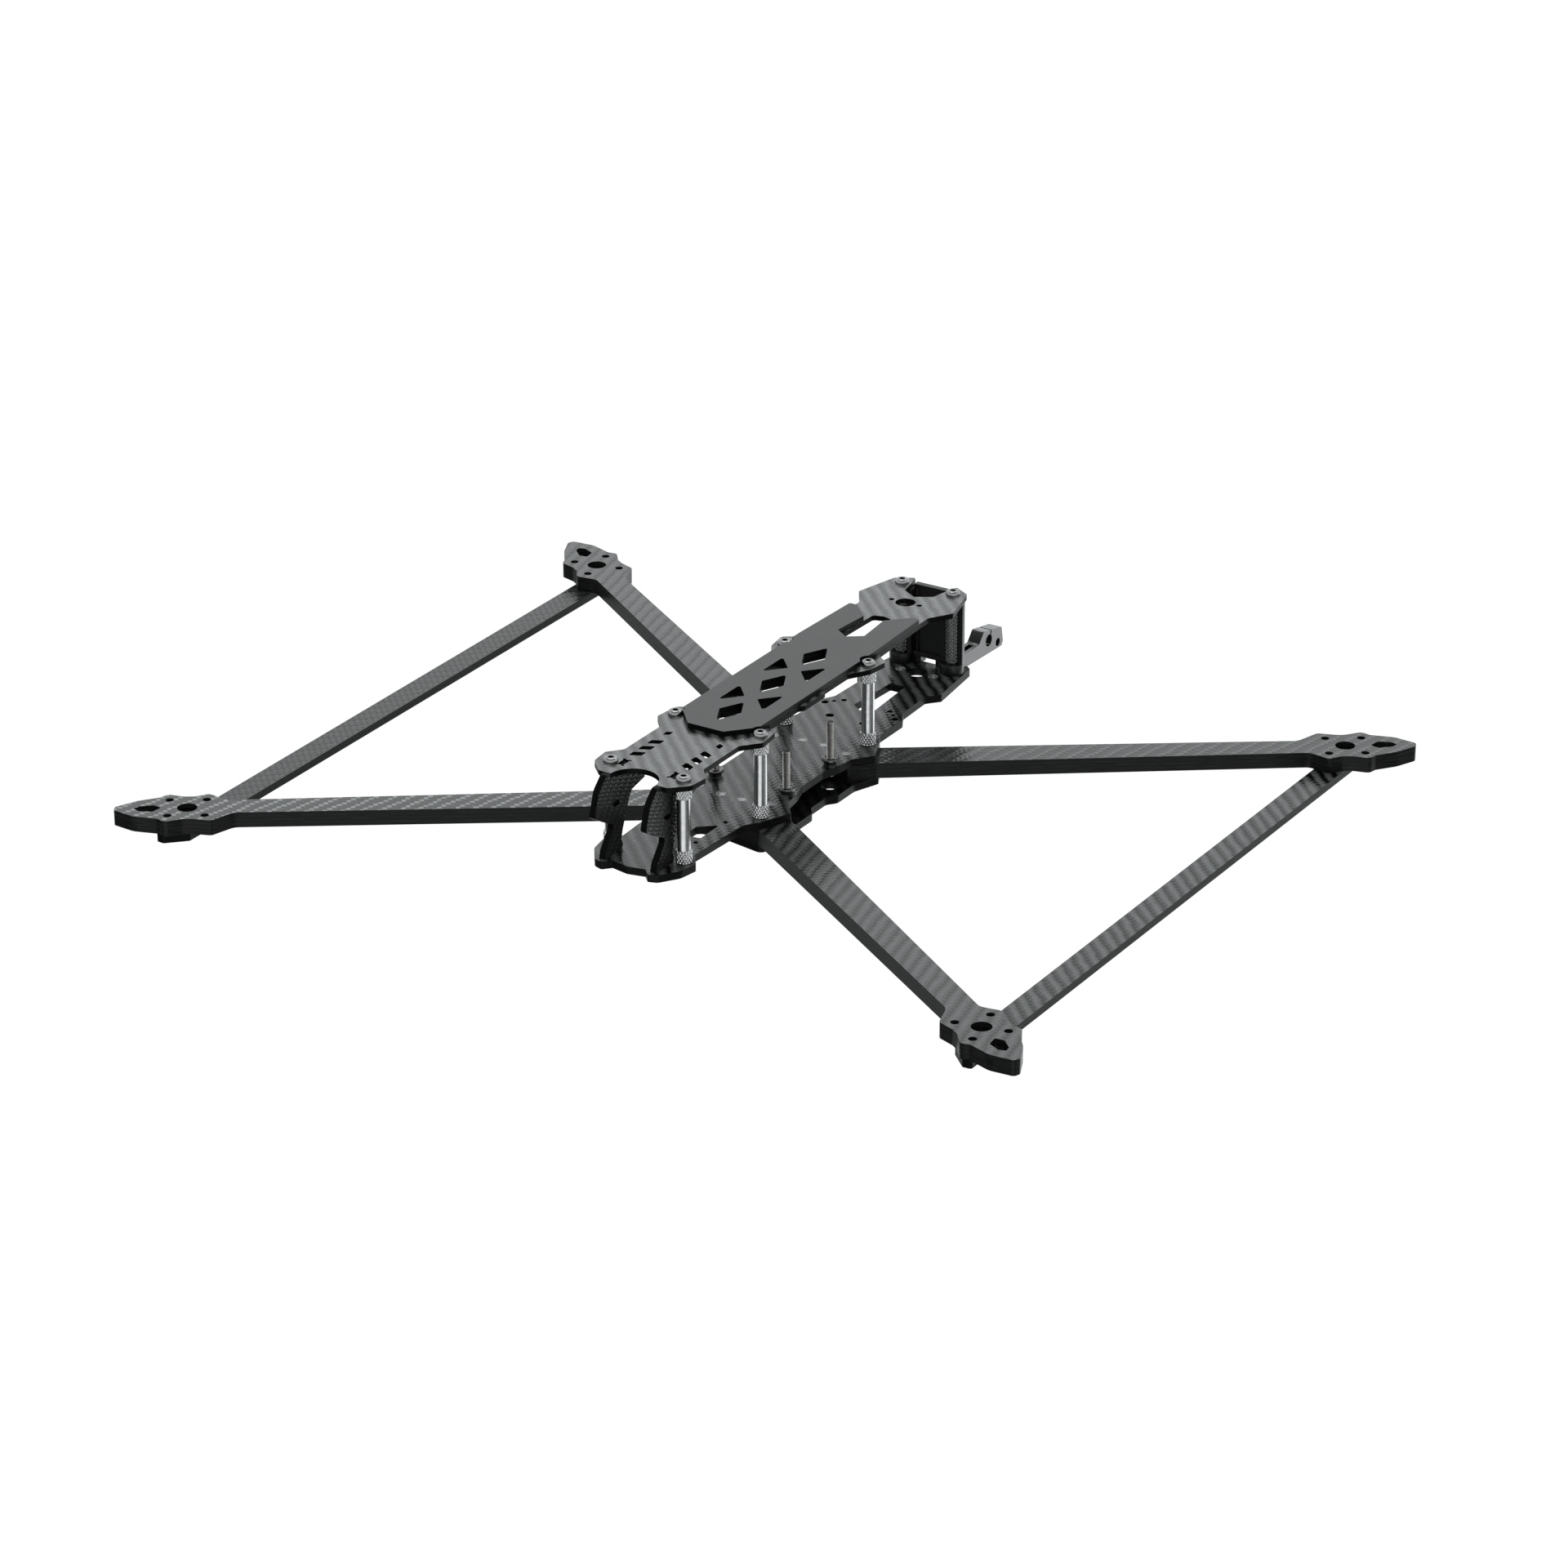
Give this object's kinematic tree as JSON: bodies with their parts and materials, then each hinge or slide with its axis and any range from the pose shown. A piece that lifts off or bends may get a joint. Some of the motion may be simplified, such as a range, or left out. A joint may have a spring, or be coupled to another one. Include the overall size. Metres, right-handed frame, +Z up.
{
  "type": "quadcopter drone",
  "caption": "Bare long-range quadcopter drone frame: stacked carbon plates, tapered arms, side braces, camera cage, standoffs and a rear antenna mount, with no motors.",
  "frame": {"origin": "centre of the footprint on the plane of the lowest faces, which are the undersides of the bottom plate and of the two side braces", "axes": "+Z up, -Y towards the camera cage at the front, X across the frame, which is symmetric across the YZ plane"},
  "size_m": [0.3762, 0.3018, 0.046],
  "materials": {
    "carbon": "twill-weave laminate, satin",
    "pad": "smooth matte",
    "aluminium": "polished, knurled ends",
    "dark_aluminium": "black anodised, knurled",
    "steel": "bright stainless",
    "printed": "printed flexible plastic"
  },
  "bodies": {
    "root": {"top_plate": "carbon", "battery_pad": "pad", "mid_plate": "carbon", "bottom_plate": "carbon", "arm_front_left": "carbon", "arm_front_right": "carbon", "arm_rear_left": "carbon", "arm_rear_right": "carbon", "brace_left": "carbon", "brace_right": "carbon", "camera_plate_left": "carbon", "camera_plate_right": "carbon", "standoff_front_left": "aluminium", "standoff_front_right": "aluminium", "standoff_mid_front_left": "aluminium", "standoff_mid_front_right": "aluminium", "standoff_mid_rear_left": "aluminium", "standoff_mid_rear_right": "aluminium", "rear_post_left": "dark_aluminium", "rear_post_right": "dark_aluminium", "rear_mount": "printed", "antenna_arm_left": "printed", "antenna_arm_right": "printed", "top_screws": "steel", "deck_screws": "steel", "post_screws": "steel", "arm_screws": "steel", "stack_screws": "steel", "stack_nuts": "steel", "press_nuts": "steel", "rear_inserts": "steel"}
  },
  "joints": []
}
